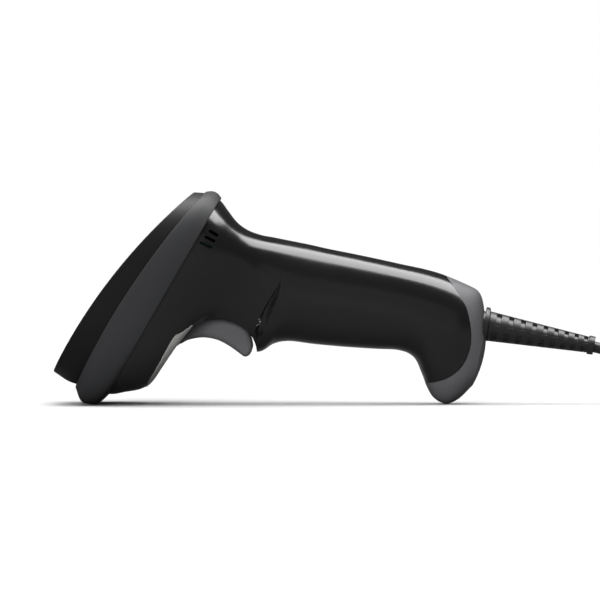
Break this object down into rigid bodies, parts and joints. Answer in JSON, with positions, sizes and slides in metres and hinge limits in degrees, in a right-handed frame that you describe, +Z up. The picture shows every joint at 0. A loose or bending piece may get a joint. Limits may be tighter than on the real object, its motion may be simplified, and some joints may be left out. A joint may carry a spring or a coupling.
{
  "type": "handheld barcode scanner",
  "caption": "Pistol-grip barcode scanner with a flared scan head, rubber bumper, finger trigger, curved handle, bend relief and a coiled lead ending in a rectangular plug.",
  "frame": {"origin": "on the resting surface, under the middle of the scanner's length and width, its lead left out", "axes": "+X from the scan face to the butt and the lead, +Y across to the side with the screws, +Z up"},
  "size_m": [0.3291, 0.0875, 0.0851],
  "materials": {
    "housing": "moulded ABS, gloss",
    "bezel": "moulded ABS, gloss",
    "bumper": "overmoulded elastomer, satin",
    "grey_plastic": "fine moulded texture",
    "label": "blank satin film",
    "window": "polished acrylic",
    "seal": "foam",
    "black_plastic": "moulded",
    "mirror": "front surface mirror",
    "lens": "polished",
    "board": "solder mask",
    "chip": "moulded package",
    "led": "tinted epoxy",
    "flex": "polyimide film",
    "connector": "moulded nylon",
    "steel": "machined",
    "brass": "machined",
    "clear_plastic": "moulded polycarbonate",
    "cord": "satin PVC",
    "plug_metal": "nickel plated sheet",
    "gold": "gold plated"
  },
  "bodies": {
    "scanner": {"housing_left": "housing", "housing_right": "housing", "front_bezel": "bezel", "bumper_ring": "bumper", "butt_cap": "grey_plastic", "label_plate": "label", "scan_window": "window", "window_gasket": "seal", "optics_chassis": "black_plastic", "fold_mirror": "mirror", "mirror_clips": "black_plastic", "lens_barrel": "black_plastic", "lens": "lens", "image_sensor_board": "board", "image_sensor": "chip", "illumination_board": "board", "illumination_leds": "led", "ribbon_cable": "flex", "main_board": "board", "decoder_chips": "chip", "board_connectors": "connector", "board_screws": "steel", "board_standoffs": "brass", "buzzer": "black_plastic", "trigger_pivot_pin": "steel", "switch_bracket": "black_plastic", "trigger_switch": "black_plastic", "housing_screws": "steel", "screw_inserts": "brass", "modular_socket": "black_plastic", "modular_plug": "clear_plastic", "cable_collar": "cord", "cable_boot": "cord", "cord_lead": "cord", "cord_coil": "cord", "cord_tail": "cord", "usb_overmould": "cord", "usb_shell": "plug_metal", "usb_tongue": "connector", "usb_contacts": "gold"},
    "trigger": {"trigger": "grey_plastic", "trigger_spring": "steel"},
    "switch_plunger": {"switch_plunger": "connector"}
  },
  "joints": [
    {"name": "trigger_pull", "type": "hinge", "parent": "scanner", "child": "trigger", "pos_m": [-0.032, 0, 0.034], "axis": [0, -1, 0], "range_deg": [0, 5], "stiffness_Nm_per_rad": 0.4, "springref_deg": -3.44, "deforming": ["trigger_spring"]},
    {"name": "plunger_press", "type": "slide", "parent": "scanner", "child": "switch_plunger", "axis": [0, 0, 1], "range_m": [0, 0.0022], "stiffness_N_per_m": 2, "springref_m": -0.0005}
  ],
  "couplings": [
    {"joint": "plunger_press", "follows": "trigger_pull", "m_per_rad": 0.0245}
  ]
}
